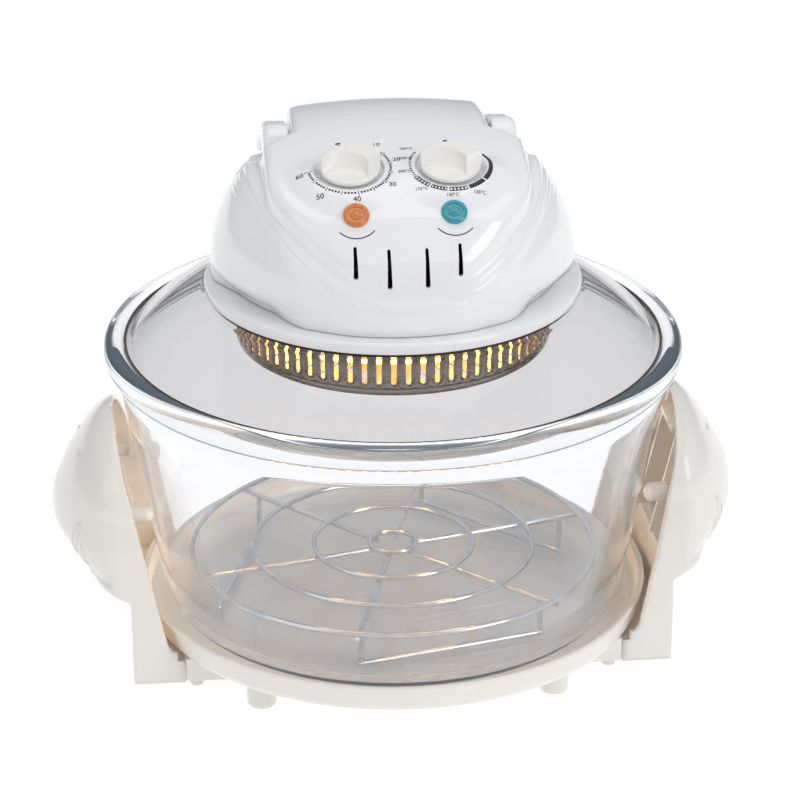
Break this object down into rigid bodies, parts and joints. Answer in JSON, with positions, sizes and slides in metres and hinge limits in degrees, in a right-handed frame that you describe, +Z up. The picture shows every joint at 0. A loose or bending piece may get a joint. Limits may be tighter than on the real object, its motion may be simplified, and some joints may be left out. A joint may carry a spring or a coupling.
{
  "type": "rotisserie oven",
  "caption": "Countertop turbo oven: round glass bowl on a dished base with wing handles, under a glass lid with a domed control head, lamp guard, fan and fold-down handle.",
  "frame": {"origin": "on the bowl's axis, at the level of the feet's undersides", "axes": "+Z up along the bowl's axis; -Y towards the front, where the controls are; +X towards the right-hand wing handle as seen from the front"},
  "size_m": [0.409, 0.34, 0.3222],
  "materials": {
    "base_plastic": "warm white gloss moulding",
    "foot_plastic": "warm white gloss moulding",
    "clear_glass": "clear tempered glass, polished",
    "rack_wire": "bright plated wire",
    "gasket_rubber": "matt black silicone",
    "seal_rubber": "very dark brown silicone",
    "head_plastic": "bright white gloss moulding",
    "knob_plastic": "white satin gloss",
    "amber_lens": "moulded amber lens",
    "teal_lens": "moulded teal lens",
    "lamp_body": "natural nylon",
    "control_case": "grey moulded case",
    "motor_steel": "plated lamination stack",
    "zinc_steel": "zinc plated",
    "bright_steel": "brushed stainless",
    "insulation": "compressed mineral fibre",
    "quartz": "lit quartz tube",
    "white_ceramic": "steatite",
    "black_plastic": "black nylon",
    "red_plastic": "red acetal",
    "dark_fan": "dark glass-filled nylon",
    "fan_aluminium": "pressed aluminium"
  },
  "bodies": {
    "base": {"base_dish": "base_plastic", "handle_left": "base_plastic", "handle_right": "base_plastic", "bowl_bumpers": "base_plastic", "large_feet": "foot_plastic", "small_feet": "base_plastic", "base_screws": "zinc_steel"},
    "bowl": {"glass_bowl": "clear_glass"},
    "rack": {"low_rack": "rack_wire"},
    "head": {"lid_glass": "clear_glass", "lid_seal": "seal_rubber", "lid_gasket": "gasket_rubber", "head_ring": "head_plastic", "head_cover": "head_plastic", "power_lens": "amber_lens", "heat_lens": "teal_lens", "indicator_lamps": "lamp_body", "timer_body": "lamp_body", "thermostat_body": "control_case", "fan_motor": "motor_steel", "motor_bracket": "zinc_steel", "heat_shield": "zinc_steel", "insulation_pad": "insulation", "reflector_plate": "bright_steel", "halogen_lamp": "quartz", "lamp_holders": "white_ceramic", "lamp_guard": "bright_steel", "cover_screws": "zinc_steel", "terminal_block": "white_ceramic", "thermal_fuse": "zinc_steel", "safety_switch": "black_plastic", "cord_gland": "black_plastic", "handle_pins": "zinc_steel"},
    "plunger": {"switch_plunger": "red_plastic"},
    "handle": {"carry_handle": "head_plastic"},
    "timer": {"timer_knob": "knob_plastic", "timer_shaft": "zinc_steel"},
    "thermostat": {"thermostat_knob": "knob_plastic", "thermostat_shaft": "zinc_steel"},
    "fan": {"fan_shaft": "zinc_steel", "cooling_fan": "dark_fan", "hot_air_fan": "fan_aluminium"}
  },
  "joints": [
    {"name": "bowl_lift", "type": "slide", "parent": "base", "child": "bowl", "axis": [0, 0, 1], "range_m": [0, 0.2]},
    {"name": "rack_lift", "type": "slide", "parent": "bowl", "child": "rack", "axis": [0, 0, 1], "range_m": [0, 0.12]},
    {"name": "head_lift", "type": "slide", "parent": "bowl", "child": "head", "axis": [0, 0, 1], "range_m": [0, 0.25]},
    {"name": "handle_fold", "type": "hinge", "parent": "head", "child": "handle", "pos_m": [0, 0.022, 0.301], "axis": [1, 0, 0], "range_deg": [0, 90]},
    {"name": "plunger_travel", "type": "slide", "parent": "head", "child": "plunger", "axis": [0, 0, 1], "range_m": [0, 0.003]},
    {"name": "timer_turn", "type": "hinge", "parent": "head", "child": "timer", "pos_m": [-0.0283, -0.041, 0.3096], "axis": [0, -0.342, 0.9397], "range_deg": [-171, 86]},
    {"name": "thermostat_turn", "type": "hinge", "parent": "head", "child": "thermostat", "pos_m": [0.0283, -0.041, 0.3096], "axis": [0, -0.342, 0.9397], "range_deg": [-45, 265]},
    {"name": "fan_spin", "type": "hinge", "parent": "head", "child": "fan", "pos_m": [0, 0, 0.21], "axis": [0, 0, 1], "continuous": true}
  ],
  "couplings": [
    {"joint": "plunger_travel", "follows": "handle_fold", "m_per_rad": 0.0019}
  ]
}
